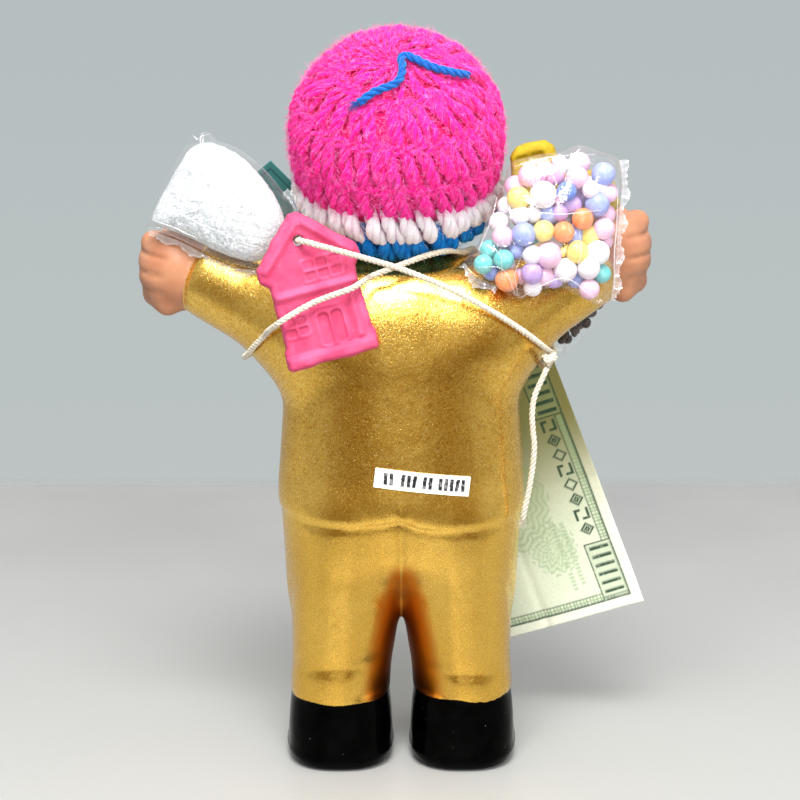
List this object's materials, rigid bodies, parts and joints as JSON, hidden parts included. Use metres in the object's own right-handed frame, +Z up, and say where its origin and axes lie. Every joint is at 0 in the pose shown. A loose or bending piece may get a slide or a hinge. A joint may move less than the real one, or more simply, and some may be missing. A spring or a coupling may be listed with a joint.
{
  "type": "ekeko figurine",
  "caption": "Standing cast figurine of a man with raised arms in a crocheted cap, hung with bags, clay charms and paper notes by a string.",
  "frame": {"origin": "on the ground under the middle of the whole object's plan", "axes": "+Z up; the figure faces -Y and its left hand points to +X"},
  "size_m": [0.125, 0.0604, 0.1776],
  "materials": {
    "painted_cast": "satin gold paint on a hollow plaster cast, with skin, black and white areas",
    "cap_yarn": "crocheted acrylic yarn, fuzzy",
    "yarn_end": "twisted acrylic yarn",
    "string": "twisted cotton",
    "string_knot": "twisted cotton",
    "string_tail": "twisted cotton",
    "pink_clay": "matt painted clay",
    "yellow_clay": "matt painted clay",
    "clear_film_sugar": "clear crinkled film over white grains",
    "clear_film_balls": "clear crinkled film over pastel foam balls",
    "clear_film_beans": "clear crinkled film over dark beans",
    "banknote_paper": "matt printed paper",
    "small_note_paper": "matt printed paper",
    "label_paper": "smooth white sticker"
  },
  "bodies": {
    "root": {"figure": "painted_cast", "hat": "cap_yarn", "hat_yarn": "yarn_end", "string": "string", "string_knot": "string_knot", "string_tail": "string_tail", "clay_house": "pink_clay", "clay_car": "yellow_clay", "sugar_bag": "clear_film_sugar", "ball_bag": "clear_film_balls", "bean_bag": "clear_film_beans", "banknote": "banknote_paper", "small_note": "small_note_paper", "label": "label_paper"}
  },
  "joints": []
}
